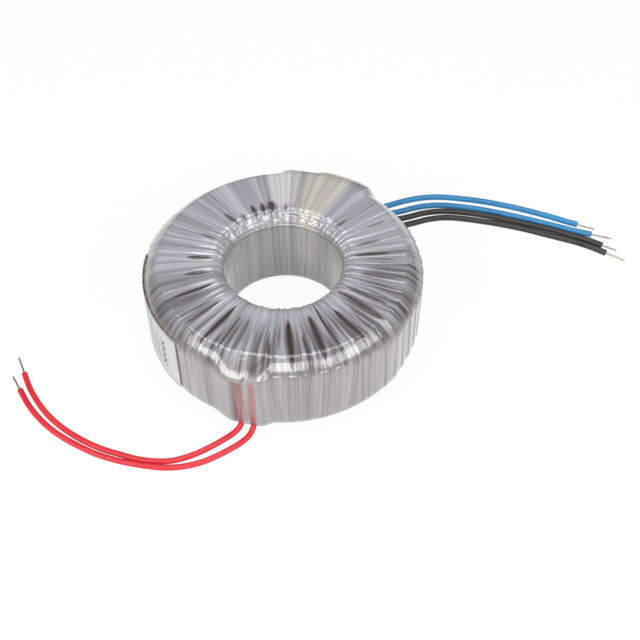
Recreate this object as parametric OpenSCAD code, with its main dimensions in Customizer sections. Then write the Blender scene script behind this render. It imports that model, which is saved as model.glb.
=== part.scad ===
// Toroidal mains transformer, lying flat with its leads spread on the table.
// Origin: centre of the hole on the table, +Z up. Millimetres.

/* [Body] */
// Outside diameter over the film wrap
body_d = 100; // [90:1:120]
// Height over the film wrap
body_h = 33.5; // [30:0.5:45]
// Diameter of the centre hole
hole_d = 42.6; // [36:0.2:46]
// Radius of the wrap's outer edges
edge_r = 4.9; // [4.4:0.1:6]
// Radius of the wrap's edges round the hole
hole_edge_r = 2.7; // [2.4:0.1:3.2]

/* [Film wrap] */
// Thickness of the wound film
film_t = 0.5; // [0.4:0.1:1]
// Height of the step at each lap of the film
lap_h = 0.3; // [0.1:0.05:0.5]
// Number of turns of film round the ring
film_turns = 60; // [48:12:72]
// Room between the film and the outer winding
film_gap = 0.15; // [0.12:0.01:0.3]

/* [Windings] */
// Diameter of the secondary wire
secondary_wire_d = 1.4; // [1:0.1:1.6]
// Turns of each of the two secondary windings
secondary_turns = 40; // [30:1:54]
// Thickness of the film between the windings
inner_film_t = 0.4; // [0.3:0.1:0.6]
// Build of the primary winding on the outer side
primary_build = 2; // [1.5:0.1:3]
// Build of the primary winding above and below the core
primary_build_flat = 2.4; // [2:0.1:3.5]
// Build of the primary winding inside the hole
primary_build_hole = 3.6; // [3:0.1:5]
// Room between neighbouring layers
layer_gap = 0.1; // [0.05:0.01:0.15]

/* [Core] */
// Thickness of the film round the core
core_film_t = 0.5; // [0.3:0.1:1]
// Radius of the edges of the wound steel strip
core_edge_r = 0.6; // [0.3:0.1:1]

/* [Leads] */
// Outside diameter of the primary leads
primary_lead_d = 2.1; // [1.8:0.1:2.2]
// Outside diameter of the secondary leads
secondary_lead_d = 2.4; // [2:0.1:2.5]
// Diameter of the tinned conductors of the primary leads
primary_core_d = 0.7; // [0.6:0.1:1]
// Diameter of the tinned conductors of the secondary leads
secondary_core_d = 0.8; // [0.6:0.1:1.3]
// Length of the longest stripped end
bare_len = 8; // [4:0.5:10]
// Diameter of the soldered splices under the film
splice_d = 1.8; // [1.5:0.1:2]
// Length of the soldered splices
splice_len = 5; // [3:0.5:6]
// Thickness of the pads under the splices
pad_t = 0.3; // [0.2:0.1:0.5]

/* [Label] */
// Thickness of the label
label_t = 0.25; // [0.2:0.05:0.5]
// Height of the label
label_h = 24.5; // [18:0.5:25]
// Length of the label round the body, in degrees
label_turn = 52; // [30:1:60]

/* [Hidden] */

$fn = 180;
tube_sides = 8;

film_r = body_d / 2 - lap_h;
film_top = body_h - lap_h;
hole_r = hole_d / 2;
turn_angle = 360 / film_turns;

// The ring-shaped layers, each as [r_in, r_out, z_lo, z_hi, hole corner, outer corner].
function shrink(s, hole, out, flat) = [
  s[0] + hole, s[1] - out, s[2] + flat, s[3] - flat, max(s[4] - flat, 0.6), max(s[5] - out, 0.8)
];
function lift(s) = [s[0], s[1], s[2] - layer_gap, s[3], s[4], s[5]];

corner_ease = 0.7;
winding_env = [
  hole_r + film_t + film_gap, film_r - film_t - film_gap, film_t, film_top - film_t - film_gap,
  hole_edge_r - film_t - film_gap, edge_r - film_t - film_gap
];
wire_in = 2 * secondary_wire_d + 2 * layer_gap;
wire_out = secondary_wire_d + layer_gap;
wound_env = [for (i = [0:5]) winding_env[i] + (i > 3 ? corner_ease : 0)];
inner_film_env = lift(shrink(wound_env, wire_in, wire_out, wire_out));
primary_env = lift(shrink(inner_film_env, inner_film_t + layer_gap, inner_film_t + layer_gap, inner_film_t + layer_gap));
core_film_env = lift(shrink(
  primary_env, primary_build_hole + layer_gap, primary_build + layer_gap, primary_build_flat + layer_gap
));
core_env = lift(shrink(core_film_env, core_film_t + layer_gap, core_film_t + layer_gap, core_film_t + layer_gap));

// Where the leads leave the film, in degrees round the body from +X.
primary_exit = [-112, -101];
secondary_exit = [50, 68];
pad_span = [50, 84];
primary_pad_span = [-112, -100];

lead_room = 0.15;
lead_wall_r = winding_env[1] + pad_t;
front_bulge = lead_wall_r + primary_lead_d + lead_room + film_t - film_r;
back_bulge = lead_wall_r + secondary_lead_d + lead_room + film_t - film_r;
pad_bulge = pad_t + layer_gap;

pad_foot = 6;
pad_hole_gap = 5;
label_r = body_d / 2;
label_z = 4.5;
label_from = -138.5;

// Points of the leads past the foot of the wall, to the end of the insulation.
red_z = 1.1;
thick_z = 1.2;
red_points_1 = [
  [-16.3, -48.3, 3.4], [-17.2, -49.6, 1.8],
  [-18.9, -51.3, 1.2], [-21.7, -53.4, red_z], [-25.2, -55.7, red_z], [-29.2, -58, red_z],
  [-34, -60.2, red_z], [-40, -61.8, red_z], [-46, -61.7, red_z], [-52, -60.5, red_z],
  [-58, -58.3, red_z], [-64, -55.9, red_z], [-70, -52.6, red_z], [-76, -48.4, red_z],
  [-81, -44, red_z], [-85.2, -39.3, red_z], [-89, -33.7, red_z], [-92.2, -27.8, red_z],
  [-94.6, -21.8, red_z]
];
red_points_2 = [
  [-12, -49.5, 3.4], [-12.7, -50.9, 1.8],
  [-14, -53, 1.2], [-16.3, -55.3, red_z], [-19.9, -57.8, red_z], [-24.6, -60.5, red_z],
  [-30, -62.9, red_z], [-36, -64.3, red_z], [-42, -64.5, red_z], [-48, -63.6, red_z],
  [-54, -62.2, red_z], [-60, -60.3, red_z], [-66, -57.8, red_z], [-72, -54.4, red_z],
  [-78, -50.4, red_z], [-83.2, -46, red_z], [-87.8, -41, red_z], [-91.8, -35.4, red_z],
  [-95.2, -29.2, red_z]
];
blue_points_1 = [
  [21.7, 46.5, 3.7], [22.5, 48.1, 1.9],
  [24, 50.3, 1.3], [27, 52.8, thick_z], [32, 55.2, thick_z], [38.5, 57.3, thick_z],
  [45, 59.4, thick_z], [51, 61.4, thick_z], [57, 62.8, thick_z], [63, 63.3, thick_z],
  [69, 62.8, thick_z], [76, 61.5, thick_z], [83, 59.8, thick_z], [90, 57.6, thick_z],
  [97, 55, thick_z], [104, 52, thick_z], [110, 49.2, thick_z], [115, 46.6, thick_z],
  [120, 44.2, thick_z]
];
blue_points_2 = [
  [24.9, 44.9, 3.7], [25.8, 46.4, 1.9],
  [27.5, 48.4, 1.3], [30.8, 50.5, thick_z], [36.3, 52.5, thick_z], [43, 54, thick_z],
  [49, 55.4, thick_z], [55, 57.2, thick_z], [61, 58.2, thick_z], [67, 58.1, thick_z],
  [74, 56.9, thick_z], [81, 55.2, thick_z], [88, 52.9, thick_z], [95, 50.4, thick_z],
  [102, 47.6, thick_z], [108, 45, thick_z], [114, 42.4, thick_z], [119, 40.3, thick_z],
  [124.5, 38.3, thick_z]
];
black_points_1 = [
  [28, 43, 3.7], [29, 44.4, 1.9],
  [30.9, 46.3, 1.3], [34.5, 48.1, thick_z], [40.2, 49.6, thick_z], [46.5, 50.7, thick_z],
  [52, 52, thick_z], [58, 53.8, thick_z], [64, 54.6, thick_z], [70, 54.3, thick_z],
  [77, 53, thick_z], [84, 51.1, thick_z], [91, 48.7, thick_z], [98, 46, thick_z],
  [104, 43.8, thick_z], [110, 41.3, thick_z], [116, 38.3, thick_z], [122, 35.4, thick_z],
  [127.5, 32, thick_z]
];
black_points_2 = [
  [30.9, 41, 3.7], [32.1, 42.3, 1.9],
  [34.2, 44, 1.3], [38, 45.5, thick_z], [43.7, 46.6, thick_z], [49.5, 47.3, thick_z],
  [54.5, 48.6, thick_z], [60, 50.2, thick_z], [66, 50.9, thick_z], [72, 50.3, thick_z],
  [79, 48.7, thick_z], [86, 46.8, thick_z], [92.5, 44.7, thick_z], [99, 42.3, thick_z],
  [105, 39.7, thick_z], [111, 37.1, thick_z], [117, 34.5, thick_z], [123, 31.2, thick_z],
  [128, 27.7, thick_z]
];

// Each lead comes down the wall under the film, from its splice to the exit.
lead_top = body_h - 11.5;
function held(at, d) = let (r = lead_wall_r + d / 2) [
  for (drop = [0, 5, 10.5, 15.5]) [r * cos(at), r * sin(at), lead_top - drop]
];
red_route_1 = concat(held(-108.5, primary_lead_d), red_points_1);
red_route_2 = concat(held(-103.5, primary_lead_d), red_points_2);
blue_route_1 = concat(held(65, secondary_lead_d), blue_points_1);
blue_route_2 = concat(held(61, secondary_lead_d), blue_points_2);
black_route_1 = concat(held(57, secondary_lead_d), black_points_1);
black_route_2 = concat(held(53, secondary_lead_d), black_points_2);

// The section of a ring layer: a rectangle in (r, z) with round corners.
module section(s) {
  ci = s[4];
  co = s[5];
  translate([s[0] + ci, s[2]]) square([s[1] - s[0] - ci - co, s[3] - s[2]]);
  translate([s[0], s[2] + ci]) square([ci, s[3] - s[2] - 2 * ci]);
  translate([s[1] - co, s[2] + co]) square([co, s[3] - s[2] - 2 * co]);
  for (z = [s[2] + ci, s[3] - ci]) translate([s[0] + ci, z]) circle(ci, $fn = 48);
  for (z = [s[2] + co, s[3] - co]) translate([s[1] - co, z]) circle(co, $fn = 48);
}

module ring(s) rotate_extrude() section(s);

// A closed skin of thickness t just inside the outline s.
module skin(s, t) {
  difference() {
    ring(s);
    ring([s[0] + t, s[1] - t, s[2] + t, s[3] - t, max(s[4] - t, 0.3), max(s[5] - t, 0.3)]);
  }
}

// One straight leg and one corner of a turn of wire.
module leg(p, turn, len, d) translate(p) rotate(turn) cylinder(h = len, d = d, $fn = 24);

module bend(p, from, r, d) {
  translate(p) rotate([90, 0, 0]) rotate([0, 0, from])
    rotate_extrude(angle = 90, $fn = 48) translate([r, 0]) circle(d = d, $fn = 24);
}

// A turn of wire round the section, with its hole leg at x0 and its outer leg at x1.
module wire_turn(x0, x1, z0, z1, ci, co, d) {
  leg([x0 + ci, 0, z0], [0, 90, 0], x1 - x0 - ci - co, d);
  leg([x0 + ci, 0, z1], [0, 90, 0], x1 - x0 - ci - co, d);
  leg([x0, 0, z0 + ci], [0, 0, 0], z1 - z0 - 2 * ci, d);
  leg([x1, 0, z0 + co], [0, 0, 0], z1 - z0 - 2 * co, d);
  bend([x1 - co, 0, z1 - co], 0, co, d);
  bend([x0 + ci, 0, z1 - ci], 90, ci, d);
  bend([x0 + ci, 0, z0 + ci], 180, ci, d);
  bend([x1 - co, 0, z0 + co], 270, co, d);
}

// The turns of one secondary; the second one's hole legs lie behind the first one's.
module secondary_turns_at(layer) {
  s = wound_env;
  d = secondary_wire_d;
  step = 360 / secondary_turns;
  for (k = [0:secondary_turns - 1]) rotate([0, 0, (k + layer / 2) * step])
    wire_turn(
      s[0] + d / 2 + layer * (d + layer_gap), s[1] - d / 2, s[2] + d / 2, s[3] - d / 2,
      s[4] - d / 2, s[5] - d / 2, d
    );
}

// ---- film wrap: one grid outside, one inside, joined round the two lead exits ----

arc_steps = 4;
hole_arc_steps = 3;
trim = 0.3;
cut = 2;
wall_r = hole_r - trim;
flat_mid = (wall_r + film_r) / 2;

// Profile points as [r, z, normal r, normal z, bulge share], going up the hole,
// out over the top, down the outer wall and back in below.
film_profile = [
  for (i = [0:hole_arc_steps]) let (a = 180 - i * 90 / hole_arc_steps)
    [wall_r + hole_edge_r * (1 + cos(a)), film_top - hole_edge_r * (1 - sin(a)), cos(a), sin(a), 0],
  [flat_mid, film_top, 0, 1, 0],
  for (i = [0:arc_steps]) let (a = 90 - i * 90 / arc_steps)
    [film_r - edge_r * (1 - cos(a)), film_top - edge_r * (1 - sin(a)), cos(a), sin(a), cos(a)],
  for (i = [0:arc_steps]) let (a = -i * 90 / arc_steps)
    [film_r - edge_r * (1 - cos(a)), edge_r * (1 + sin(a)), cos(a), sin(a), 1 - i / arc_steps],
  for (i = [0:hole_arc_steps]) let (a = 270 - i * 90 / hole_arc_steps)
    [wall_r + hole_edge_r * (1 + cos(a)), hole_edge_r * (1 + sin(a)), cos(a), sin(a), 0]
];
rows = len(film_profile);
cols = 2 * film_turns;
exit_row = hole_arc_steps + arc_steps + 3;
exit_end = exit_row + arc_steps - 1;
wall_row = exit_row - 1;

// How far round the section each row lies, from 0 to 1: the film is wound as a
// helix, so its laps lean by one turn over the whole way round.
function gap_to_next(j) = let (a = film_profile[j], b = film_profile[(j + 1) % rows]) norm([b[0] - a[0], b[1] - a[1]]);
function way_to(j) = j == 0 ? 0 : way_to(j - 1) + gap_to_next(j - 1);
row_way = [for (j = [0:rows]) way_to(j)];
row_share = [for (w = row_way) w / row_way[rows]];

lap_phase = 2;
lap_cover = 0.88;
function lap_edge(i) = (floor(i / 2) + (i % 2) * lap_cover) * turn_angle + lap_phase;
function column_angle(i, j) = lap_edge(i) + turn_angle * (row_share[j] - row_share[exit_row + 1]);

// The exits snap to whole turns of film.
function turn_below(a) = floor((a + 360 - lap_phase) / turn_angle + 0.001);
function turn_above(a) = ceil((a + 360 - lap_phase) / turn_angle - 0.001);
exits = [
  for (e = [primary_exit, secondary_exit]) [2 * (turn_below(e[0]) % film_turns), 2 * (turn_above(e[1]) % film_turns)]
];

// 1 between two angles, falling to 0 over the flank on each side.
function ramp(a, lo, hi, flank_lo, flank_hi) =
  let (mid = (lo + hi) / 2, d = ((a - mid + 540) % 360) - 180 + mid)
  min(1, max(0, min((d - lo + flank_lo) / flank_lo, (hi + flank_hi - d) / flank_hi)));
function lead_bulge(a) = max(
  front_bulge * ramp(a, primary_exit[0], primary_exit[1], 11, 6),
  back_bulge * ramp(a, secondary_exit[0], secondary_exit[1], 7, 7)
);
function pad_lift(a) = pad_bulge * ramp(a, pad_span[0], pad_span[1], 6, 6);

// Height of the step at a lap: full on the outer wall, uneven over the top, none below.
function lap_share(i, j) =
  i % 2 == 1 || j > exit_row + 1 ? 0 :
  j == wall_row || j == exit_row ? 1 : 0.35 + 0.65 * pow(sin(floor(i / 2) * 47), 2);

function film_point(i, j, inset) =
  let (
    p = film_profile[j],
    a = column_angle(i, j),
    out = lap_h * lap_share(i, j) * (1 - lead_bulge(a) / back_bulge) - inset,
    r = p[0] + p[2] * out + p[4] * max(lead_bulge(a), pad_lift(a)),
    z = p[1] + p[3] * out + max(p[3], 0) * pad_lift(a)
  )
  [r * cos(a), r * sin(a), z];

function at(i, j, side) = side * rows * cols + ((i + (j == rows ? 2 : 0)) % cols) * rows + j % rows;
function is_open(i, j) =
  j >= exit_row && j < exit_end && len([for (e = exits) if (i >= e[0] && i < e[1]) 1]) > 0;
function rim(i, j, k, l) = [
  [at(k, l, 0), at(i, j, 0), at(i, j, 1)],
  [at(k, l, 0), at(i, j, 1), at(k, l, 1)]
];

film_points = [for (side = [0, 1]) for (i = [0:cols - 1]) for (j = [0:rows - 1]) film_point(i, j, side * film_t)];
film_faces = [
  for (i = [0:cols - 1]) for (j = [0:rows - 1]) if (!is_open(i, j)) each [
    [at(i, j, 0), at(i + 1, j, 0), at(i + 1, j + 1, 0)],
    [at(i, j, 0), at(i + 1, j + 1, 0), at(i, j + 1, 0)],
    [at(i, j, 1), at(i + 1, j + 1, 1), at(i + 1, j, 1)],
    [at(i, j, 1), at(i, j + 1, 1), at(i + 1, j + 1, 1)]
  ],
  for (e = exits) for (i = [e[0]:e[1] - 1]) each concat(
    rim(i + 1, exit_row, i, exit_row), rim(i, exit_end, i + 1, exit_end)
  ),
  for (e = exits) for (j = [exit_row:exit_end - 1]) each concat(
    rim(e[0], j, e[0], j + 1), rim(e[1], j + 1, e[1], j)
  )
];

module outer_wrap() {
  color([0.72, 0.71, 0.74]) difference() {
    polyhedron(points = film_points, faces = film_faces, convexity = 6);
    translate([0, 0, -cut]) rotate([0, 0, 1.3]) cylinder(h = body_h + 2 * cut, r = hole_r);
  }
}

// ---- core and windings ----

module core() {
  color([0.42, 0.43, 0.45]) ring([core_env[0], core_env[1], core_env[2], core_env[3], core_edge_r, core_edge_r]);
}

module core_wrap() color([0.85, 0.83, 0.7]) skin(core_film_env, core_film_t);

module primary_winding() {
  color([0.62, 0.3, 0.16]) skin_between(primary_env, core_film_env);
}

module skin_between(outside, inside) {
  difference() {
    ring(outside);
    ring([
      inside[0] - layer_gap, inside[1] + layer_gap, inside[2], inside[3] + layer_gap, inside[4], inside[5]
    ]);
  }
}

module winding_wrap() color([0.9, 0.82, 0.5]) skin(inner_film_env, inner_film_t);

module secondary_winding_1() color([0.75, 0.4, 0.2]) secondary_turns_at(0);

module secondary_winding_2() color([0.82, 0.46, 0.25]) secondary_turns_at(1);

// ---- pads and splices under the film ----

module primary_joint_pad() {
  color([0.5, 0.52, 0.45]) rotate([0, 0, primary_pad_span[0]])
    rotate_extrude(angle = primary_pad_span[1] - primary_pad_span[0])
      translate([winding_env[1], pad_foot]) square([pad_t, film_top - edge_r - pad_foot]);
}

module secondary_joint_pad() {
  s = winding_env;
  color([0.93, 0.88, 0.72]) rotate([0, 0, pad_span[0]]) rotate_extrude(angle = pad_span[1] - pad_span[0])
    intersection() {
      difference() {
        section([s[0] - pad_t, s[1] + pad_t, s[2] - pad_t, s[3] + pad_t, s[4] + pad_t, s[5] + pad_t]);
        section(s);
      }
      translate([hole_r + pad_hole_gap, pad_foot]) square([body_d, body_h]);
    }
}

module splice(route) {
  color([0.7, 0.7, 0.72]) translate(route[0]) cylinder(h = splice_len, d = splice_d, $fn = 24);
}

module primary_splice_1() splice(red_route_1);

module primary_splice_2() splice(red_route_2);

module secondary_splice_1() splice(blue_route_1);

module secondary_splice_2() splice(blue_route_2);

module secondary_splice_3() splice(black_route_1);

module secondary_splice_4() splice(black_route_2);

// ---- leads ----

function unit(v) = v / norm(v);
function level(v) = [v[0], v[1], 0];
function step_at(p, i) = p[min(i + 1, len(p) - 1)] - p[max(i - 1, 0)];
function heading(p, i) = norm(level(step_at(p, i))) > 0.2 ? unit(level(step_at(p, i))) : heading(p, i + 1);

// A tube swept along the points of a route, with flat ends.
module tube(route, d) {
  n = len(route);
  points = [
    for (i = [0:n - 1]) let (
      t = unit(step_at(route, i)),
      h = heading(route, i),
      side = [-h[1], h[0], 0],
      up = cross(t, side)
    ) for (k = [0:tube_sides - 1]) let (a = (k + 0.5) * 360 / tube_sides)
      route[i] + d / 2 * (side * cos(a) + up * sin(a))
  ];
  faces = [
    for (i = [0:n - 2]) for (k = [0:tube_sides - 1]) let (
      a = i * tube_sides + k,
      b = i * tube_sides + (k + 1) % tube_sides
    ) each [[a, a + tube_sides, b + tube_sides], [a, b + tube_sides, b]],
    [for (k = [0:tube_sides - 1]) k],
    [for (k = [0:tube_sides - 1]) n * tube_sides - 1 - k]
  ];
  polyhedron(points = points, faces = faces, convexity = 8);
}

// The bare conductor beyond the end of the insulation.
module bare_end(route, d, len) {
  n = len(route);
  way = route[n - 1] - route[n - 2];
  color([0.8, 0.78, 0.74]) translate(route[n - 1]) rotate([0, 90, atan2(way[1], way[0])])
    cylinder(h = len, d = d, $fn = 24);
}

module red_lead_1() color([0.84, 0.2, 0.24]) tube(red_route_1, primary_lead_d);

module red_lead_2() color([0.84, 0.2, 0.24]) tube(red_route_2, primary_lead_d);

module blue_lead_1() color([0.16, 0.5, 0.72]) tube(blue_route_1, secondary_lead_d);

module blue_lead_2() color([0.16, 0.5, 0.72]) tube(blue_route_2, secondary_lead_d);

module black_lead_1() color([0.2, 0.2, 0.19]) tube(black_route_1, secondary_lead_d);

module black_lead_2() color([0.2, 0.2, 0.19]) tube(black_route_2, secondary_lead_d);

module red_end_1() bare_end(red_route_1, primary_core_d, bare_len);

module red_end_2() bare_end(red_route_2, primary_core_d, bare_len - 1);

module blue_end_1() bare_end(blue_route_1, secondary_core_d, bare_len - 1);

module blue_end_2() bare_end(blue_route_2, secondary_core_d, bare_len);

module black_end_1() bare_end(black_route_1, secondary_core_d, bare_len - 2);

module black_end_2() bare_end(black_route_2, secondary_core_d, bare_len);

// ---- label ----

module label() {
  color([0.88, 0.88, 0.87]) rotate([0, 0, label_from - label_turn]) rotate_extrude(angle = label_turn)
    translate([label_r, label_z]) square([label_t, label_h]);
}

core();
core_wrap();
primary_winding();
winding_wrap();
secondary_winding_1();
secondary_winding_2();
outer_wrap();
label();
primary_joint_pad();
secondary_joint_pad();
primary_splice_1();
primary_splice_2();
secondary_splice_1();
secondary_splice_2();
secondary_splice_3();
secondary_splice_4();
red_lead_1();
red_lead_2();
blue_lead_1();
blue_lead_2();
black_lead_1();
black_lead_2();
red_end_1();
red_end_2();
blue_end_1();
blue_end_2();
black_end_1();
black_end_2();
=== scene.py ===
# %% [markdown]
# # A toroidal mains transformer, dressed in film, enamel and PVC
# The solids of this transformer are already made: a steel ring, its copper windings, a
# helical film wrap, a label and six leads. This lesson gives them their looks in Blender.
# It starts by loading the solids as a fixed frame. Every later piece takes its place from
# them, in metres, so nothing has to be fitted by eye.

# %% Load the frame
import math
import bpy
import numpy as np
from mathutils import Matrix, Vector


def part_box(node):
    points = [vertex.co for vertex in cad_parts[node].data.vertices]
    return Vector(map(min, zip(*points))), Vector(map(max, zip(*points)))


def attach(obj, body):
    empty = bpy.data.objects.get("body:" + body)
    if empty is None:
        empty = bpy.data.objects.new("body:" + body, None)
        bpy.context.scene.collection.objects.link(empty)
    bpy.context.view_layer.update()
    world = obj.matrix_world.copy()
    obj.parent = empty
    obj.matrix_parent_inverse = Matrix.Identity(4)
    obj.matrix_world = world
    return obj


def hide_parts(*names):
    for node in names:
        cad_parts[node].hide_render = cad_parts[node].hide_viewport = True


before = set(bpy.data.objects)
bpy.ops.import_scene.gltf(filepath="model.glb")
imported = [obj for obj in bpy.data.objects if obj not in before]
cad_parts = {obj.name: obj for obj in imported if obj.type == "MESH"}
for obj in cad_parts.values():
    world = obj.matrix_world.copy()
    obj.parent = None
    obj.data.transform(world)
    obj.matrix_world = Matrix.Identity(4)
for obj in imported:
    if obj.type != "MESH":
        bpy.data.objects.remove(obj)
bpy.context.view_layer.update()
MM = 0.001
print("solids:", len(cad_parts))

# %% [markdown]
# ## The camera
# A flat ring is best seen from above, so that the hole, the top and the front wall all
# show. A long lens keeps the ring's far side almost as large as its near
# side. The camera comes first, because the leads may not lie far outside its view.

# %% Camera
camera_data = bpy.data.cameras.new("camera")
camera_data.lens = 61.2
camera_data.sensor_width = 36
camera = bpy.data.objects.new("camera", camera_data)
bpy.context.scene.collection.objects.link(camera)
camera.location = (0, -0.26765, 0.31148)
aim = Vector((0.012485, -0.013525, 0.015))
camera.rotation_euler = (aim - camera.location).to_track_quat("-Z", "Y").to_euler()
bpy.context.scene.camera = camera
print("camera is", round((aim - camera.location).length, 3), "m from the ring")

# %% [markdown]
# ## The six leads
# Each lead comes down the wall of the ring under the film, turns outwards at its foot and
# runs along the table in one loose bow. A flexible lead has no kinks, so its few route
# points are joined by a smooth curve, and a round tube is swept along it. The routes
# repeat those of the solids.

# %% Routes of the leads, in millimetres
RED_D, THICK_D = 2.1, 2.4
RED_Z, THICK_Z = 1.1, 1.2
WALL_R = 49.35
HELD_TOP = 22.0
HELD_DROPS = (0, 5, 10.5, 15.5)
STRETCH_STEPS = 8

# Each lead: the azimuth of its foot, its diameter, the height of its middle on the table,
# and its route. A route point with a third number has a height of its own.
routes = {
    "red_lead_1": (-108.5, RED_D, RED_Z, [
        (-16.3, -48.3, 3.4), (-17.2, -49.6, 1.8), (-18.9, -51.3, 1.2), (-21.7, -53.4),
        (-25.2, -55.7), (-29.2, -58), (-34, -60.2), (-40, -61.8), (-46, -61.7), (-52, -60.5),
        (-58, -58.3), (-64, -55.9), (-70, -52.6), (-76, -48.4), (-81, -44), (-85.2, -39.3),
        (-89, -33.7), (-92.2, -27.8), (-94.6, -21.8)]),
    "red_lead_2": (-103.5, RED_D, RED_Z, [
        (-12, -49.5, 3.4), (-12.7, -50.9, 1.8), (-14, -53, 1.2), (-16.3, -55.3), (-19.9, -57.8),
        (-24.6, -60.5), (-30, -62.9), (-36, -64.3), (-42, -64.5), (-48, -63.6), (-54, -62.2),
        (-60, -60.3), (-66, -57.8), (-72, -54.4), (-78, -50.4), (-83.2, -46), (-87.8, -41),
        (-91.8, -35.4), (-95.2, -29.2)]),
    "blue_lead_1": (65, THICK_D, THICK_Z, [
        (21.7, 46.5, 3.7), (22.5, 48.1, 1.9), (24, 50.3, 1.3), (27, 52.8), (32, 55.2),
        (38.5, 57.3), (45, 59.4), (51, 61.4), (57, 62.8), (63, 63.3), (69, 62.8), (76, 61.5),
        (83, 59.8), (90, 57.6), (97, 55), (104, 52), (110, 49.2), (115, 46.6), (120, 44.2)]),
    "blue_lead_2": (61, THICK_D, THICK_Z, [
        (24.9, 44.9, 3.7), (25.8, 46.4, 1.9), (27.5, 48.4, 1.3), (30.8, 50.5), (36.3, 52.5),
        (43, 54), (49, 55.4), (55, 57.2), (61, 58.2), (67, 58.1), (74, 56.9), (81, 55.2),
        (88, 52.9), (95, 50.4), (102, 47.6), (108, 45), (114, 42.4), (119, 40.3),
        (124.5, 38.3)]),
    "black_lead_1": (57, THICK_D, THICK_Z, [
        (28, 43, 3.7), (29, 44.4, 1.9), (30.9, 46.3, 1.3), (34.5, 48.1), (40.2, 49.6),
        (46.5, 50.7), (52, 52), (58, 53.8), (64, 54.6), (70, 54.3), (77, 53), (84, 51.1),
        (91, 48.7), (98, 46), (104, 43.8), (110, 41.3), (116, 38.3), (122, 35.4), (127.5, 32)]),
    "black_lead_2": (53, THICK_D, THICK_Z, [
        (30.9, 41, 3.7), (32.1, 42.3, 1.9), (34.2, 44, 1.3), (38, 45.5), (43.7, 46.6),
        (49.5, 47.3), (54.5, 48.6), (60, 50.2), (66, 50.9), (72, 50.3), (79, 48.7), (86, 46.8),
        (92.5, 44.7), (99, 42.3), (105, 39.7), (111, 37.1), (117, 34.5), (123, 31.2),
        (128, 27.7)]),
}
print("leads:", ", ".join(routes))


# %% A smooth line through points
def smooth_line(points, steps):
    """A Catmull-Rom line through the points, with the same number of steps in each stretch."""
    p = np.array([points[0], *points, points[-1]], float)
    t = np.linspace(0, 1, steps, endpoint=False)[:, None]
    out = []
    for a, b, c, d in zip(p, p[1:], p[2:], p[3:]):
        out.append(0.5 * (2 * b + (c - a) * t + (2 * a - 5 * b + 4 * c - d) * t**2
                          + (3 * b - a - 3 * c + d) * t**3))
    return np.vstack([*out, p[-1:]])


def route_points(azimuth, diameter, height, route):
    """The run that the film holds against the wall, and then the free run on the table."""
    angle, r = math.radians(azimuth), WALL_R + diameter / 2
    held = [(r * math.cos(angle), r * math.sin(angle), HELD_TOP - drop) for drop in HELD_DROPS]
    free = [point if len(point) == 3 else (*point, height) for point in route]
    return smooth_line([*held, *free], STRETCH_STEPS)


lead_lines = {name: route_points(*facts) for name, facts in routes.items()}
for name, line in lead_lines.items():
    print(name, "is", round(np.linalg.norm(np.diff(line, axis=0), axis=1).sum(), 1), "mm long")

# %% [markdown]
# ## The stripped ends
# The sleeve is stripped back a few millimetres and the bare conductor is tinned. It is a
# bundle of fine strands twisted together, which solder has bonded, so the end keeps a
# rope's ridges. Seven round strands, six of them wound in a helix, make that shape.

# %% Tubes round any line
UP = np.array([0, 0, 1.0])


def mesh_piece(name, points, faces):
    """A smooth-shaded piece from points in millimetres."""
    data = bpy.data.meshes.new(name)
    data.from_pydata((np.asarray(points) * MM).tolist(), [], faces)
    data.polygons.foreach_set("use_smooth", [True] * len(data.polygons))
    data.update()
    piece = bpy.data.objects.new(name, data)
    bpy.context.scene.collection.objects.link(piece)
    return piece


def tube_mesh(line, diameter, sides, closed=False):
    """Points and faces of a tube whose rings stand square to the line."""
    line = np.asarray(line, float)
    if closed:
        way = np.roll(line, -1, 0) - np.roll(line, 1, 0)
    else:
        way = np.gradient(line, axis=0)
    way /= np.linalg.norm(way, axis=1)[:, None]
    spare = UP if abs(way[0, 2]) < 0.9 else np.array([1.0, 0, 0])
    across = np.cross(way[0], spare)
    turn = np.linspace(0, 2 * math.pi, sides, endpoint=False)[:, None]
    rings, n = [], len(line)
    for place, ahead in zip(line, way):
        across = across - ahead * (across @ ahead)
        across /= np.linalg.norm(across)
        other = np.cross(ahead, across)
        rings.append(place + diameter / 2 * (np.cos(turn) * across + np.sin(turn) * other))
    faces = []
    for i in range(n if closed else n - 1):
        here, there = i * sides, (i + 1) % n * sides
        for k in range(sides):
            l = (k + 1) % sides
            faces.append((here + k, here + l, there + l, there + k))
    if not closed:
        faces += [tuple(range(sides))[::-1], tuple(range((n - 1) * sides, n * sides))]
    return np.vstack(rings), faces


def joined(parts):
    """Several (points, faces) as one."""
    points, faces, start = [], [], 0
    for p, f in parts:
        points.append(p)
        faces += [tuple(start + i for i in face) for face in f]
        start += len(p)
    return np.vstack(points), faces


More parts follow.
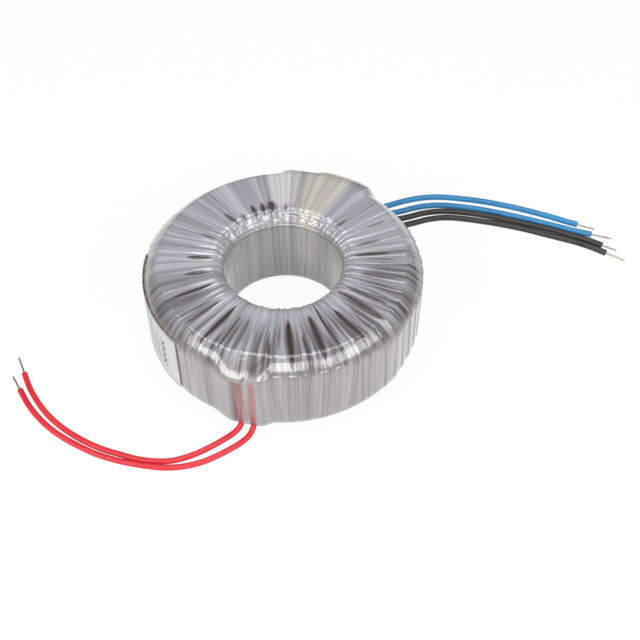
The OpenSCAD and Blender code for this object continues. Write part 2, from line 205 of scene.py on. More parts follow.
# %% Twisted, tinned strands
# Each end: the diameter of its bundle and its bare length, in millimetres.
ends = {
    "red_end_1": (0.7, 8), "red_end_2": (0.7, 7),
    "blue_end_1": (0.8, 7), "blue_end_2": (0.8, 8),
    "black_end_1": (0.8, 6), "black_end_2": (0.8, 8),
}
TWIST_PITCH, IN_SLEEVE, STATIONS, STRAND_SIDES = 7.0, 0.6, 26, 6
strand_pieces = {}
for end, (diameter, length) in ends.items():
    _, _, height, route = routes[end.replace("end", "lead")]
    tip = np.array([*route[-1], height], float)
    before = np.array([*route[-2], height], float)
    ahead = (tip - before) / np.linalg.norm(tip - before)
    side = np.array([-ahead[1], ahead[0], 0])
    strand = diameter / 3
    along = np.linspace(-IN_SLEEVE, length - 0.1, STATIONS)
    parts = [tube_mesh(tip + along[:, None] * ahead, strand * 1.1, STRAND_SIDES)]
    for k in range(6):
        turn = 2 * math.pi * (along / TWIST_PITCH + k / 6)
        open_out = strand * (0.93 + 0.05 * np.sin(along * 0.9 + k))
        helix = tip + along[:, None] * ahead + open_out[:, None] * (
            np.cos(turn)[:, None] * side + np.sin(turn)[:, None] * UP)
        parts.append(tube_mesh(helix, strand, STRAND_SIDES))
    strand_pieces[end] = mesh_piece(f"{end}_strands", *joined(parts))
    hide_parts(end)
    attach(strand_pieces[end], "root")
print("stripped ends:", len(strand_pieces), "with 7 strands each")

SLEEVE_SIDES, FOOT_Z = 16, 3.4
leads = {}
for name, line in lead_lines.items():
    diameter = routes[name][1]
    piece = leads[name] = mesh_piece(f"{name}_sleeve", *tube_mesh(line, diameter, SLEEVE_SIDES))
    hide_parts(name)
    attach(piece, "root")
    length = np.linalg.norm(np.diff(line, axis=0), axis=1).sum()
print("sleeves:", len(leads))

# %% [markdown]
# ## The outer winding
# Under the film lie the turns of the outer winding. Each turn of enamelled wire goes round
# the ring's section once, and there are far more of them than the solids show. The outer
# wall has room for them side by side, and the narrow hole has not, so every second turn
# lies behind its neighbour there. They are rounded rectangles swept as tubes.

# %% Sizes of the ring
ring_low, ring_high = (np.array(c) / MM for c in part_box("outer_wrap"))
BODY_R, BODY_TOP, HOLE_R, LAP_H = 50, 33.5, 21.3, 0.3
FILM_R, FILM_TOP = BODY_R - LAP_H, BODY_TOP - LAP_H
EDGE_R, HOLE_EDGE_R = 4.9, 2.7
print("ring from", ring_low.round(2), "to", ring_high.round(2))


# %% Turns of enamelled wire
CORNER_STEPS = 5


def rounded_turn(r_in, r_out, z_low, z_high, corner_in, corner_out):
    """The centre line of one turn round the section, as (r, z), going up the hole."""
    corners = [
        (r_in + corner_in, z_high - corner_in, corner_in, 180),
        (r_out - corner_out, z_high - corner_out, corner_out, 90),
        (r_out - corner_out, z_low + corner_out, corner_out, 0),
        (r_in + corner_in, z_low + corner_in, corner_in, -90)]
    out = []
    for r, z, size, start in corners:
        for a in np.radians(np.linspace(start, start - 90, CORNER_STEPS)):
            out.append((r + size * math.cos(a), z + size * math.sin(a)))
    return np.array(out)


TURNS, WIRE_D, WIRE_SIDES, ROW_GAP = 234, 1.14, 6, 0.08
HOLE_GAP, WALL_GAP, LOW_GAP, TOP_GAP = 0.62, 0.68, 0.5, 0.75
CORNER_IN, CORNER_OUT = 6.0, 6.4
rng = np.random.default_rng(7)
half = WIRE_D / 2
turns = []
for k in range(TURNS):
    back = (k % 2) * (WIRE_D + ROW_GAP)
    r_out = FILM_R - WALL_GAP - half - rng.uniform(0, 0.12)
    z_high = FILM_TOP - TOP_GAP - half - rng.uniform(0, 0.1)
    outline = rounded_turn(HOLE_R + HOLE_GAP + half + back, r_out, LOW_GAP + half, z_high,
                           CORNER_IN - back, CORNER_OUT)
    lean = rng.normal(0, 0.12)
    place = k + lean * (outline[:, 1] / FILM_TOP - 0.5) + rng.normal(0, 0.05)
    angle = 2 * math.pi / TURNS * place
    line = np.column_stack([outline[:, 0] * np.cos(angle), outline[:, 0] * np.sin(angle),
                            outline[:, 1]])
    turns.append(tube_mesh(line, WIRE_D, WIRE_SIDES, closed=True))
winding = mesh_piece("secondary_turns", *joined(turns))
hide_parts("secondary_winding_1", "secondary_winding_2")
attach(winding, "root")
print("outer winding:", TURNS, "turns,", len(winding.data.polygons), "quads")

# %% [markdown]
# ## The film wrap
# A strip of clear polyester film is wound round the ring in one long helix. Each turn laps
# the last and leaves a small step. The film runs flat over the outer wall, but it has to
# bunch up into pleats where the turns crowd into the hole. Where leads or pads lie
# underneath it is lifted like a tent. Cloth simulation could make the pleats, but tape
# that is drawn tight barely moves, so the wrap is made as one grid: columns follow the
# turns of film, rows follow the ring's section, and heights are added along its normal.

# %% Section of the film
def arc(r, z, size, start, end, steps):
    """Points of a rounded edge, each as r, z and its outward direction."""
    return [(r + size * math.cos(a), z + size * math.sin(a), math.cos(a), math.sin(a))
            for a in np.radians(np.linspace(start, end, steps))]


section = (
    [(HOLE_R, z, -1, 0) for z in np.linspace(4, FILM_TOP - HOLE_EDGE_R, 9, endpoint=False)]
    + arc(HOLE_R + HOLE_EDGE_R, FILM_TOP - HOLE_EDGE_R, HOLE_EDGE_R, 180, 90, 9)
    + [(r, FILM_TOP, 0, 1) for r in np.linspace(HOLE_R + HOLE_EDGE_R, FILM_R - EDGE_R, 17)[1:-1]]
    + arc(FILM_R - EDGE_R, FILM_TOP - EDGE_R, EDGE_R, 90, 0, 13)
    + [(FILM_R, z, 1, 0) for z in np.linspace(FILM_TOP - EDGE_R, EDGE_R, 11)[1:-1]]
    + arc(FILM_R - EDGE_R, EDGE_R, EDGE_R, 0, -90, 7)
    + [(r, 0, 0, -1) for r in np.linspace(FILM_R - EDGE_R, HOLE_R + HOLE_EDGE_R, 5)[1:-1]]
    + arc(HOLE_R + HOLE_EDGE_R, HOLE_EDGE_R, HOLE_EDGE_R, 270, 180, 5)
)
section = np.array(section)
rows = len(section)
step_way = np.linalg.norm(np.diff(section[:, :2], axis=0), axis=1)
way = np.concatenate([[0], np.cumsum(step_way)])
whole_way = way[-1] + np.linalg.norm(section[0, :2] - section[-1, :2])
print("film section:", rows, "points,", round(whole_way, 1), "mm round")


# %% Waves that close on themselves round the ring
def drift(angle, along, cells, length, seed):
    """Smooth random heights from -1 to 1, with that many cells round the ring."""
    deep = int(whole_way / length) + 3
    grid = np.random.default_rng(seed).uniform(-1, 1, (cells, deep))
    x, y = (angle / (2 * math.pi)) % 1 * cells, along / length
    i, j = np.floor(x).astype(int), np.floor(y).astype(int)
    u, v = x - i, y - j
    u, v = u * u * (3 - 2 * u), v * v * (3 - 2 * v)
    a, b = grid[i % cells, j], grid[(i + 1) % cells, j]
    c, d = grid[i % cells, j + 1], grid[(i + 1) % cells, j + 1]
    return (a * (1 - u) + b * u) * (1 - v) + (c * (1 - u) + d * u) * v


def between(degrees, low, high, flank_low, flank_high):
    """1 between two azimuths, which falls smoothly to 0 over a flank at each side."""
    middle = (low + high) / 2
    d = (degrees - middle + 540) % 360 - 180 + middle
    rise, fall = (d - low + flank_low) / flank_low, (high + flank_high - d) / flank_high
    s = np.clip(np.minimum(rise, fall), 0, 1)
    return s * s * (3 - 2 * s)


# %% Columns and rows of the film
# A turn of film is 6 degrees wide. Most of its columns lie on the flat of the tape, and
# the last three make the step down to the next turn.
FILM_TURNS, TURN = 60, 6.0
FLAT_COLUMNS, FLAT_SHARE = 15, 0.88
in_turn = np.concatenate([np.linspace(0, FLAT_SHARE, FLAT_COLUMNS), [0.92, 0.955, 0.985]])
edge_at = np.concatenate([(k + in_turn) * TURN + 2 for k in range(FILM_TURNS)])
columns, per_turn = len(edge_at), len(in_turn)
foot_way = way[int(np.argmax((section[:, 0] > FILM_R - 0.1) & (section[:, 1] < EDGE_R + 0.1)))]
degrees = edge_at[:, None] + TURN * (way - foot_way)[None, :] / whole_way
angle = np.radians(degrees)
along = np.broadcast_to(way, angle.shape)
r, z, nr, nz = (np.broadcast_to(section[:, k], angle.shape) for k in range(4))
print("film grid:", columns, "columns x", rows, "rows")

# %% Where leads and pads lie underneath
front = between(degrees, -112, -101, 11, 6)
behind = between(degrees, 50, 68, 7, 7)
pad = between(degrees, 50, 84, 6, 6)
wall_share = np.where(nz > 0, np.clip(nr, 0, 1),
                      np.where(nz < 0, np.clip(nr, 0, 1) ** 2, nr > 0))
on_top = np.clip(nz, 0, 1)
near_hole = np.clip((36 - r) / 14, 0, 1)
print("columns over the red leads:", int((front[:, 0] > 0.5).sum()))

# %% Laps, pleats and crumples
lap = np.concatenate([1 - in_turn[:FLAT_COLUMNS] / FLAT_SHARE, [0.25, 0.62, 0.9]])
lap = np.tile(lap, FILM_TURNS)[:, None]
lap_share = np.where(nr > 0.98, 1.0, 0.35 + 0.65 * drift(angle, along * 0, FILM_TURNS, 9, 3) ** 2)
lap_share = np.where(nz < -0.05, 0.0, lap_share)
height = LAP_H * lap_share * lap * (1 - np.maximum(front, behind))
pleats = drift(angle, along, 150, 16, 11) + 0.5 * drift(angle, along, 320, 12, 12)
height = height + pleats * (0.05 + 0.22 * near_hole) * np.where(nr < -0.9, 0.35, 1) * (nz > -0.3)
crumple = drift(angle, along, 110, 2.2, 21) * np.exp(-((r - HOLE_R - 1.6) / 2.2) ** 2) * (nz > 0.1)
height = height + (0.3 + 0.3 * between(degrees, 50, 150, 20, 20)) * crumple
print("pleats, in mm:", round(float(np.ptp(height)), 2), "from low to high")

# %% The slanting end of the strip
# One end of the strip finishes in a slanting edge over the front tent. Off_crease is the
# distance from that edge in millimetres.
top_way = way[int(np.argmax((nz[0] > 0.99) & (section[:, 0] > 43)))]
wall_way = way[int(np.argmax((nr[0] > 0.99) & (section[:, 1] < 27)))]
down = np.clip((along - top_way) / (wall_way - top_way), 0, 1)
flat_angle = (degrees + 180) % 360 - 180
off_crease = (flat_angle - (-98 - 11.5 * down)) * math.pi / 180 * np.maximum(r, 30)
in_crease = (along > top_way - 4) & (along < wall_way + 0.5)
# Along this edge the film's colour is darkened: painted shade in the crease.
crease_shade = np.exp(-(off_crease / 0.45) ** 2) * in_crease
height = height + (0.32 * np.clip(0.5 - off_crease, 0, 1) * (off_crease > -12)
                   * np.clip((off_crease + 12) / 6, 0, 1) * in_crease)
ribs = np.cos(angle * TURNS) * np.clip(0.6 + drift(angle, along, 40, 30, 31), 0, 1)
height = height + 0.05 * ribs * np.clip((r - 40) / 8, 0, 1) * (nz > -0.3)
height = np.where(r < HOLE_R + 0.3, np.clip(height, -0.1, 0.1), np.minimum(height, 0.34))
print("film heights, in mm:", round(float(height.min()), 2), "to", round(float(height.max()), 2))

# %% Tents over the leads and the pad
FRONT_LIFT, BACK_LIFT, PAD_LIFT = 2.38, 2.68, 0.42
tent = np.maximum(FRONT_LIFT * front, BACK_LIFT * behind) * wall_share
bulge = np.maximum(tent, PAD_LIFT * pad * np.maximum(wall_share, on_top))
sway = drift(angle, along, 34, 60, 41) * 0.3 * wall_share * (1 - between(degrees, -192, -137, 3, 3))
r2 = r + nr * height + (bulge + sway) * np.where(nz > 0.98, 0, 1)
z2 = np.clip(z + nz * height + PAD_LIFT * pad * on_top, 0, None)
print("tents stand out by", round(float(bulge.max()), 2), "mm")

# %% Tight tape cuts the corners
# The tape is drawn straight from the top to the tented leads, which cuts the corner off.
FACET_PULL, BRIDGE_PULL = 0.66, 0.72
on_edge = (nr > 0.02) & (nz > 0.02)
facet = between(degrees, -119, -107.5, 13, 2.5) * on_edge
share = np.clip(np.arctan2(nr, nz) / (math.pi / 2), 0, 1)
r_flat = (FILM_R - EDGE_R) + (EDGE_R + bulge.max() * front) * share
z_flat = FILM_TOP - EDGE_R * share
r2 = r2 + (r_flat - r2) * facet * FACET_PULL
z2 = z2 + (z_flat - z2) * facet * FACET_PULL
# Elsewhere it bridges both rounded edges in short straight lines, less so over the pad.
bridge = BRIDGE_PULL * (1 - 0.8 * between(degrees, 47, 87, 4, 4)) * on_edge
bridge = bridge * (1 - np.clip(facet, 0, 1))
r2 = r2 + ((FILM_R - EDGE_R + EDGE_R * share + bulge * share) - r2) * bridge
z2 = z2 + (z_flat - z2) * bridge
BRIM = 4.2
brim = (section[:, 0] < HOLE_R + BRIM) & (section[:, 1] > FILM_TOP - BRIM)
brim_way = np.clip((way - way[brim][0]) / (way[brim][-1] - way[brim][0]), 0, 1)
lean_in = brim * (0.35 + 0.45 * between(degrees, 40, 150, 25, 25))
lean_in = lean_in * np.sin(math.pi * brim_way) ** 0.35
r2 = r2 + (HOLE_R + BRIM * brim_way - r) * lean_in
z2 = z2 + (FILM_TOP - BRIM * (1 - brim_way) - z) * lean_in
print("the tape leans in over", BRIM, "mm round the hole")

# %% The film as one piece
film_points = np.stack([r2 * np.cos(angle), r2 * np.sin(angle), z2], -1).reshape(-1, 3)
film_faces = []
for i in range(columns):
    for j in range(rows):
        k, l = (i + 1) % columns, (j + 1) % rows
        # Past the last row the helix has moved on by one whole turn of film.
        a, b = (i, k) if l else ((i + per_turn) % columns, (k + per_turn) % columns)
        film_faces.append((i * rows + j, k * rows + j, b * rows + l, a * rows + l))
film = mesh_piece("film_wrap_skin", film_points, film_faces)
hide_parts("outer_wrap")
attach(film, "root")
print("film:", len(film_faces), "quads")

# %% [markdown]
# ## Finishes
# Each material starts from what the real one is. Colours are written as screen values and
# turned to linear light by one function. One helper adds a shader node with its settings,
# its colour stops and its links. Patterns get their scale from a size in millimetres.

# %% Helpers for finishes
def linear(code):
    """The linear colour of a screen value such as "#8C8E84"."""
    values = [int(code[i:i + 2], 16) / 255 for i in (1, 3, 5)]
    return (*[v / 12.92 if v <= 0.04045 else ((v + 0.055) / 1.055) ** 2.4 for v in values], 1)


def add(tree, kind, settings=(), stops=(), **links):
    """A node of that kind. Settings are properties or input values, links are sockets, and
    stops are places on a colour ramp with a screen value or a plain grey."""
    node = tree.nodes.new(kind)
    for key, value in dict(settings).items():
        if isinstance(key, str) and hasattr(node, key):
            setattr(node, key, value)
        else:
            node.inputs[key].default_value = value
    for key, socket in links.items():
        place = int(key[1:]) if key[1:].isdigit() else key.replace("_", " ")
        tree.links.new(socket, node.inputs[place])
    if stops:
        ramp_stops = node.color_ramp.elements
        while len(ramp_stops) < len(stops):
            ramp_stops.new(0.5)
        for stop, (place, shade) in zip(ramp_stops, stops):
            stop.position = place
            stop.color = linear(shade) if isinstance(shade, str) else (shade, shade, shade, 1)
    return node


def finish_of(name, **settings):
    """A new finish with its node tree and its shader, whose sockets get the settings."""
    material = bpy.data.materials.new(name)
    material.use_nodes = True
    shader = material.node_tree.nodes["Principled BSDF"]
    for key, value in settings.items():
        shader.inputs[key.replace("_", " ")].default_value = value
    return material, material.node_tree, shader


# %% [markdown]
# ### Polyester film, wound in many layers
# Clear polyester film is glossy and has no colour. Where many layers trap thin gaps of
# air between them it turns into a lavender-grey haze, in streaks that follow the tape.
# Where the layers touch, the film stays clear and the dark winding shows through. So haze
# is a number on the mesh that drives both colour and opacity, and finer streaks come
# from noise that is stretched along the tape.

# %% How hazy each place of the film is
# Each streak: its middle azimuth, inner radius, outer radius, width in mm and strength.
clear_streaks = [
    (-170, 26, 35, 2.0, 0.9), (-156, 27, 42, 2.4, 1.0), (-140, 29, 45, 2.2, 0.8),
    (-128, 27, 47, 3.2, 1.0), (-120, 30, 46, 2.0, 0.8), (-113, 30, 46, 3.0, 0.6),
    (-99, 34, 49, 1.5, 0.7), (-88, 29, 49, 4.2, 1.0), (-81, 36, 49, 2.0, 0.9),
    (-74, 28, 48, 4.0, 0.95), (-66.5, 23, 50, 1.2, 1.0), (-56, 30, 49, 3.0, 0.95),
    (-49, 34, 49, 1.6, 0.7), (-42, 25, 45, 4.5, 0.9), (-34, 26, 42, 3.0, 0.7),
    (-17, 28, 40, 4.0, 0.55), (1, 25, 38, 2.2, 0.9), (12, 27, 36, 1.8, 0.6),
    (24, 33, 42, 1.5, 0.4), (38, 24, 30, 2.0, 0.5), (86, 24, 27.5, 2, 0.6),
    (97, 24, 30.5, 4, 0.9), (104, 23.8, 29.5, 3, 0.9), (112, 23.5, 30, 2.4, 0.9),
    (122, 23.5, 28, 2, 0.6), (131, 24, 32, 2.2, 0.7), (155, 26, 33, 1.6, 0.5),
    (176, 25, 34, 2.2, 0.9)]
clear = np.zeros_like(r2)
for azimuth, r_low, r_high, width, strength in clear_streaks:
    off = ((flat_angle - azimuth + 180) % 360 - 180) * math.pi / 180 * r
    off = off + 0.5 * drift(angle, along, 80, 10, 71)
    share = np.clip((r - r_low) / (r_high - r_low), 0, 1)
    half = width / 2 * np.sin(math.pi * share) ** 0.6 + 1e-4
    inside = (r >= r_low) & (nz > 0.05)
    clear = np.maximum(clear, strength * np.clip(1.25 - np.abs(off) / half, 0, 1) * inside)
swerve = angle + 0.022 * drift(angle, along, 26, 22, 61) + 0.008 * drift(angle, along, 90, 12, 62)
streaks = 0.5 + 0.5 * drift(swerve, along, 260, 18, 51) + 0.25 * drift(swerve, along, 520, 14, 52)
facing = between(degrees, -150, -5, 35, 25)
top_clear = facing * np.clip((r - 27) / 9, 0, 1) * np.clip(nz * 1.5, 0, 1)
clear = np.clip(np.maximum(clear, top_clear * np.clip(streaks * 1.1 - 0.25, 0, 0.62)), 0, 1)
on_bend = np.exp(-((np.arctan2(nr, nz) - 0.75) / 0.5) ** 2) * (nz > 0) * (nr > 0)
clear = np.maximum(clear, 0.34 * (on_bend * np.clip(streaks - 0.1, 0, 1)))
print("clear share of the film:", round(float((clear > 0.5).mean()), 3))

# %% The red leads shine through
LEADS_TOP = 28
blush = np.zeros_like(r2)
for lead_angle in (-108.5, -103.5):
    over_lead = between(degrees, lead_angle - 0.7, lead_angle + 0.7, 1.1, 1.1)
    over_lead = over_lead * wall_share * (z < LEADS_TOP)
    clear = np.maximum(clear, 0.4 * over_lead)
    blush = np.maximum(blush, 0.6 * over_lead * (0.6 + 0.4 * drift(angle, along, 90, 6, 81)))
# A thin strip beside the first red lead is made darker and clearer.
dark_strip_by_lead = between(degrees, -111.5, -110, 0.5, 0.8)
clear = np.maximum(clear, 0.35 * dark_strip_by_lead * wall_share * (z < LEADS_TOP))
print("share of the film over a red lead:", round(float((blush > 0.3).mean()), 4))

# %% Tint of the pad, warmer painted shade on the walls and in the crease, seams and strips
cream = between(degrees, 57, 76, 2.5, 4) * np.maximum(on_top, 0.4 * (nr < -0.9))
cream = cream * np.clip(0.8 + 0.6 * pleats, 0, 1)
# The outer wall fully, and the hole's wall at 0.8, take the darker wall haze: painted shade on the
# sides.
warm = np.clip(np.maximum(nr, 0) + (nr < -0.9) * 0.8, 0, 1)
seam_force = np.random.default_rng(5).uniform(0, 1, FILM_TURNS).repeat(per_turn)[:, None] ** 2
seam = np.tile(np.exp(-((in_turn - 0.95) / 0.035) ** 2), FILM_TURNS)[:, None] * seam_force
# Lap seams are darker lines of their own, and the crease adds painted shade to them.
seam = np.maximum(seam * np.ones_like(r2) * (0.35 + 0.65 * (nr > 0.9)), crease_shade)
strip = np.random.default_rng(8).uniform(0, 1, FILM_TURNS).repeat(per_turn)[:, None]
strip = strip * np.ones_like(r2)
pale = between(degrees, 81, 95, 3, 3) * np.clip(nz * 1.4, 0, 1) * np.clip((r - 25) / 4, 0, 1)
film_numbers = {"clear": clear, "warm": warm, "cream": cream, "seam": seam, "strip": strip,
                "pale": pale, "blush": blush}
for name, values in film_numbers.items():
    numbers = film.data.attributes.new(name, "FLOAT", "POINT").data
    numbers.foreach_set("value", values.ravel().astype(np.float32))
# Along the tape a millimetre counts for 0.014 of one across it, so noise comes out as streaks.
tape_length = np.broadcast_to(way / 50 * 0.014, angle.shape)
tape = np.stack([np.cos(swerve), np.sin(swerve), tape_length], -1)
numbers = film.data.attributes.new("tape", "FLOAT_VECTOR", "POINT").data
numbers.foreach_set("vector", tape.ravel().astype(np.float32))
print("numbers on the film:", ", ".join(film_numbers), "and tape")

# %% Streaks in the polyester
# The film is smooth, so its gloss is sharp, and it bends light more than glass does.
film_finish, tree, shader = finish_of("polyester_film", Roughness=0.2, IOR=1.64, Coat_Weight=1.0,
                                      Coat_Roughness=0.08, Coat_IOR=1.64)
share_of = {name: add(tree, "ShaderNodeAttribute", {"attribute_name": name}).outputs["Fac"]
            for name in film_numbers}
tape_way = add(tree, "ShaderNodeAttribute", {"attribute_name": "tape"}).outputs["Vector"]
# 50 mm is 1 in these coordinates, so a scale of 42 gives streaks of 1.2 mm.
fine = add(tree, "ShaderNodeTexNoise", {"Scale": 42, "Detail": 5, "Roughness": 0.6},
           Vector=tape_way).outputs[0]
broad = add(tree, "ShaderNodeTexNoise", {"Scale": 11, "Detail": 2}, Vector=tape_way).outputs[0]
cool = add(tree, "ShaderNodeValToRGB", _0=fine, stops=[
    (0.3, "#8E8B92"), (0.44, "#ADABB4"), (0.58, "#C3C2CA"), (0.72, "#D6D5DB")]).outputs[0]
# The same haze, painted darker and warmer for the walls: painted shade.
wall_haze_shaded = add(tree, "ShaderNodeValToRGB", _0=fine, stops=[
    (0.3, "#736D6D"), (0.44, "#918C8B"), (0.58, "#A5A09F"), (0.72, "#BEBAB8")]).outputs[0]
print("streaks of", round(50 / 42, 1), "and", round(50 / 11, 1), "mm")

# %% Colour of the haze
# The top keeps the cool haze, and the walls mix in the darker haze, which is painted shade.
haze = add(tree, "ShaderNodeMix", {"data_type": "RGBA"},
           _0=share_of["warm"], _6=cool, _7=wall_haze_shaded).outputs[2]
for number, shade in (("cream", "#DAD4C8"), ("pale", "#DCDADD")):
    haze = add(tree, "ShaderNodeMix", {"data_type": "RGBA", 7: linear(shade)},
               _0=share_of[number], _6=haze).outputs[2]
strip_shade = add(tree, "ShaderNodeValToRGB", _0=share_of["strip"],
                  stops=[(0.0, 0.76), (0.5, 0.92), (1.0, 1.0)]).outputs[0]
broad_shade = add(tree, "ShaderNodeValToRGB", _0=broad,
                  stops=[(0.36, 0.78), (0.5, 0.95), (0.62, 1.0)]).outputs[0]
for shade in (strip_shade, broad_shade):
    haze = add(tree, "ShaderNodeMix", {"data_type": "RGBA", "blend_type": "MULTIPLY", 0: 1.0},
               _6=haze, _7=shade).outputs[2]
# A clear place is one where the numbers or the fine streaks say so.
see = add(tree, "ShaderNodeMath", {"operation": "MULTIPLY_ADD", 1: 0.55, 2: -0.27},
          _0=fine).outputs[0]
see = add(tree, "ShaderNodeMath", {"operation": "ADD", "use_clamp": True},
          _0=see, _1=share_of["clear"]).outputs[0]
# Seams are greyer, the crease is painted darker as painted shade, clear places darker, and the film
# blushes over the red leads.
tint = haze
tints = ((share_of["seam"], "#6E6664"), (see, "#463B3E"), (share_of["blush"], "#C8707A"))
for share, shade in tints:
    tint = add(tree, "ShaderNodeMix", {"data_type": "RGBA", 7: linear(shade)},
               _0=share, _6=tint).outputs[2]
tree.links.new(tint, shader.inputs["Base Color"])
print("shader nodes of the film so far:", len(tree.nodes))

# %% Opacity and ripples of the film
opaque = add(tree, "ShaderNodeMapRange",
             {"From Min": 0.05, "From Max": 1.0, "To Min": 0.97, "To Max": 0.52}, Value=see)
tree.links.new(opaque.outputs[0], shader.inputs["Alpha"])
RIPPLE = 0.12
ripples = add(tree, "ShaderNodeBump", {"Distance": RIPPLE * MM}, Height=fine)
tree.links.new(ripples.outputs[0], shader.inputs["Normal"])
film.data.materials.append(film_finish)
print("ripples:", RIPPLE, "mm high")

# %% [markdown]
# ### Wires, sleeves, metal and paper
# Enamel is a thin clear varnish over copper, which keeps the metal's shine and makes it
# redder. PVC sleeves are extruded: smooth, with a soft shine. Tinned strands are bright
# metal with a little roughness. The label is coated paper that has been smoothed over
# the laps. All of them wander a little between two shades, as handled things do, over
# patches of a given size. Grain that is finer than the eye can tell at this distance, as
# on enamel, PVC and paper, is drawn as patches of some millimetres.

# %% A finish of two shades
def speckled(name, dark, light, millimetres, depth, stretch=(1, 1, 1), **settings):
    """A finish whose colour wanders between two shades over grain of that size."""
    material, tree, shader = finish_of(name, **settings)
    place = add(tree, "ShaderNodeTexCoord").outputs["Object"]
    place = add(tree, "ShaderNodeMapping", {"Scale": stretch}, Vector=place).outputs[0]
    noise = add(tree, "ShaderNodeTexNoise", {"Scale": 1 / MM / millimetres, "Detail": 3},
                Vector=place).outputs[0]
    colour = add(tree, "ShaderNodeValToRGB", _0=noise, stops=[(0.35, dark), (0.65, light)])
    tree.links.new(colour.outputs[0], shader.inputs["Base Color"])
    roughness = settings["Roughness"]
    rough = add(tree, "ShaderNodeMapRange", {"To Min": roughness * 0.8, "To Max": roughness * 1.2},
                Value=noise)
    tree.links.new(rough.outputs[0], shader.inputs["Roughness"])
    bump = add(tree, "ShaderNodeBump", {"Distance": depth * MM}, Height=noise)
    tree.links.new(bump.outputs[0], shader.inputs["Normal"])
    return material


# %% Simple finishes
finishes = {
    # Copper under clear varnish: a dark red-brown with a metal's shine.
    "secondary_wire": speckled(
        "enamelled_copper_wire", "#43261F", "#7A4A3C", 6, 0.02,
        Roughness=0.25, Metallic=0.6, Coat_Weight=0.6),
    # Finer wire in many layers, which looks duller and redder.
    "primary_wire": speckled(
        "primary_enamelled_copper", "#6A3424", "#8C4C34", 1, 0.1, Roughness=0.35, Metallic=0.7),
    # Film that varnish has soaked: nearly black, and glossy.
    "inner_film": speckled(
        "varnished_inner_film", "#2E2422", "#463633", 5, 0.05, Roughness=0.3),
    # The edges of rolled steel strip: a grey metal with fine lines.
    "core_steel": speckled(
        "wound_silicon_steel", "#5A5C60", "#74767A", 0.6, 0.05, Roughness=0.4, Metallic=1.0),
    # Pressed fibre and crepe paper: matt, and a little uneven.
    "grey_pad": speckled(
        "grey_insulating_pad", "#8C8E84", "#A3A59A", 2, 0.05, Roughness=0.7),
    "cream_pad": speckled(
        "cream_insulating_paper", "#DCC9A0", "#EBDDBB", 3, 0.05, Roughness=0.75),
    # A soldered joint in its shrunk red sleeve.
    "solder": speckled(
        "sleeved_solder_joint", "#7C1822", "#A02632", 2, 0.08, Roughness=0.4),
    # Extruded PVC: an even colour with a soft, broad shine.
    "red_insulation": speckled(
        "red_pvc_sleeve", "#D0202E", "#DC2E3A", 8, 0.03, Roughness=0.38),
    "blue_insulation": speckled(
        "blue_pvc_sleeve", "#1F77AE", "#2A86BC", 8, 0.03, Roughness=0.38),
    "black_insulation": speckled(
        "black_pvc_sleeve", "#262422", "#34312E", 8, 0.03, Roughness=0.4),
    # Tin over copper strands: pale metal, bright along each strand.
    "tinned_copper": speckled(
        "tinned_strands", "#A8A49C", "#CFCBC2", 0.8, 0.04, Roughness=0.25, Metallic=1.0),
    # Coated paper, rubbed down over the laps: a flat off-white with a slight sheen.
    "label_paper": speckled(
        "coated_label_paper", "#C4C6C8", "#D2D3D4", 7, 0.12, stretch=(1, 1, 0.2), Roughness=0.42),
}
print("finishes:", len(finishes) + 1)

# %% Dress the pieces
for name, piece in leads.items():
    piece.data.materials.append(finishes[f"{name.split('_')[0]}_insulation"])
for piece in strand_pieces.values():
    piece.data.materials.append(finishes["tinned_copper"])
winding.data.materials.append(finishes["secondary_wire"])
slots_of = {
    "core": "core_steel", "core_wrap": "inner_film", "primary_winding": "primary_wire",
    "winding_wrap": "inner_film", "primary_joint_pad": "grey_pad",
    "secondary_joint_pad": "cream_pad", "label": "label_paper"}
dressed = []
for node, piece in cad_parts.items():
    slot = slots_of.get(node, "solder" if "splice" in node else None)
    if slot:
        for place in piece.material_slots:
            place.material = finishes[slot]
        dressed.append(node)
print("solids that keep their shape:", ", ".join(dressed))

# %% [markdown]
# ## Print on the label
# A label on a transformer carries a winding diagram and ruled fields. Only a generic coil
# symbol and empty lines are drawn, as thin ribbons of ink that follow the curve of the paper.

# %% Ink on the label
INK_R = 50.27


def ink(points, width):
    """A ribbon of ink through (degrees, z) points on the label."""
    flat = np.array([(math.radians(a) * INK_R, z) for a, z in points])
    ahead = np.gradient(flat, axis=0)
    ahead /= np.linalg.norm(ahead, axis=1)[:, None]
    side = np.column_stack([-ahead[:, 1], ahead[:, 0]]) * width / 2
    edges = np.concatenate([flat + side, flat - side])
    turn = edges[:, 0] / INK_R
    places = np.column_stack([INK_R * np.cos(turn), INK_R * np.sin(turn), edges[:, 1]])
    n = len(flat)
    return places, [(i, i + 1, n + i + 1, n + i) for i in range(n - 1)]


marks = []
COIL_Z, LOOP_H, LOOPS = 10, 3.2, 4
swing = np.linspace(0, math.pi, 9)
for k in range(LOOPS):
    rise = COIL_Z + LOOP_H * k + LOOP_H / 2 * (1 - np.cos(swing))
    marks.append(ink(list(zip(-146 - 1.6 * np.sin(swing), rise)), 0.55))
    marks.append(ink(list(zip(-149.5 + 1.3 * np.sin(swing), rise)), 0.45))
fields = ((-152.5, 8, 24), (-155, 8, 20), (-158, 9, 25), (-163, 8, 25), (-171, 8, 25))
for field, low, high in fields:
    marks.append(ink([(field, z) for z in np.linspace(low, high, 6)], 0.4))
for level in (28.6, 4.9):
    marks.append(ink([(a, level) for a in np.linspace(-190, -139, 40)], 0.35))
label_ink = mesh_piece("label_ink", *joined(marks))
# Printer's ink on coated paper: a soft dark grey, a little rougher than the paper.
label_ink.data.materials.append(
    speckled("black_label_ink", "#5A5A5E", "#6E6E72", 1, 0.01, Roughness=0.5))
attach(label_ink, "root")
print("marks on the label:", len(marks))

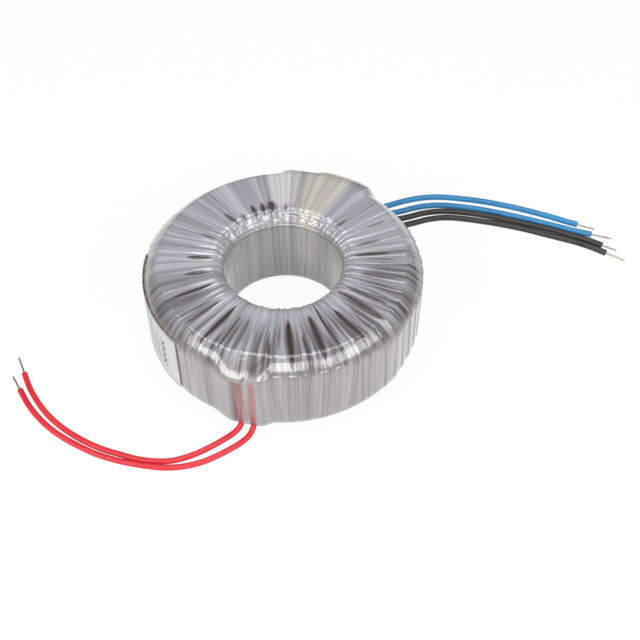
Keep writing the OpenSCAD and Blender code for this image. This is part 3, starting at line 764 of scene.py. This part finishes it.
# %% [markdown]
# ## Table and light
# The ring lies on a white table in a white room. Four large soft lamps stand in front of
# it, at both sides and above. Their reflections run along the rounded edges of the film,
# and those bright lines are what tells the eye that the wrap is glossy. The table glows
# for the camera and for reflections alone, so that it looks white and keeps a soft shadow.

# %% Table
HALF, DROP = 3, 0.0002
table_mesh = bpy.data.meshes.new("table")
corners = [(-HALF, -HALF, 0), (HALF, -HALF, 0), (HALF, HALF, 0), (-HALF, HALF, 0)]
table_mesh.from_pydata(corners, [], [(0, 1, 2, 3)])
table = bpy.data.objects.new("table", table_mesh)
table.location.z = -DROP
bpy.context.scene.collection.objects.link(table)
print("table:", 2 * HALF, "m wide")

# %% Painted board, matt and white
GLOW_SHARE = 0.93
table_finish, tree, shader = finish_of("white_table", Base_Color=linear("#F4F4F4"), Roughness=0.9)
rays = add(tree, "ShaderNodeLightPath")
seen = rays.outputs["Is Camera Ray"]
for ray in ("Is Glossy Ray", "Is Transmission Ray"):
    seen = add(tree, "ShaderNodeMath", {"operation": "MAXIMUM"},
               _0=seen, _1=rays.outputs[ray]).outputs[0]
partly = add(tree, "ShaderNodeMath", {"operation": "MULTIPLY", 1: GLOW_SHARE}, _0=seen)
glow = add(tree, "ShaderNodeEmission", {"Color": (1, 1, 1, 1), "Strength": 1.0})
mixed = add(tree, "ShaderNodeMixShader",
            _0=partly.outputs[0], _1=shader.outputs[0], _2=glow.outputs[0])
tree.links.new(mixed.outputs[0], tree.nodes["Material Output"].inputs["Surface"])
table.data.materials.append(table_finish)
print("the table glows at", GLOW_SHARE, "of white where it is seen")

# %% White room
ROOM_LIGHT = 0.19
world = bpy.data.worlds.new("white_room")
bpy.context.scene.world = world
world.use_nodes = True
tree = world.node_tree
room = tree.nodes["Background"]
rays = add(tree, "ShaderNodeLightPath")
level = add(tree, "ShaderNodeMapRange", {"To Min": ROOM_LIGHT, "To Max": 1.0},
            Value=rays.outputs["Is Camera Ray"])
tree.links.new(level.outputs[0], room.inputs["Strength"])
room.inputs["Color"].default_value = (1, 1, 1, 1)
print("the room lights the ring at", ROOM_LIGHT)

# %% Soft lamps
RING_MIDDLE = Vector((0, 0, 0.02))


def softbox(name, place, size, power):
    """A rectangular lamp that faces the ring. Places and sizes are in metres."""
    data = bpy.data.lights.new(name, "AREA")
    data.shape, data.size, data.size_y, data.energy = "RECTANGLE", *size, power
    lamp = bpy.data.objects.new(name, data)
    bpy.context.scene.collection.objects.link(lamp)
    lamp.location = place
    lamp.rotation_euler = (RING_MIDDLE - lamp.location).to_track_quat("-Z", "Y").to_euler()
    print(name, power, "W")


softbox("front_softbox", (0.0, -0.72, 0.62), (0.44, 0.36), 2.7)
softbox("left_softbox", (-0.66, -0.52, 0.56), (0.76, 0.4), 4.5)
softbox("right_softbox", (0.64, -0.54, 0.6), (0.7, 0.4), 4.1)
softbox("top_softbox", (0, 0.12, 0.95), (0.6, 0.6), 3.8)
bpy.context.scene.view_settings.view_transform = "Standard"

# %% Update the scene
bpy.context.view_layer.update()
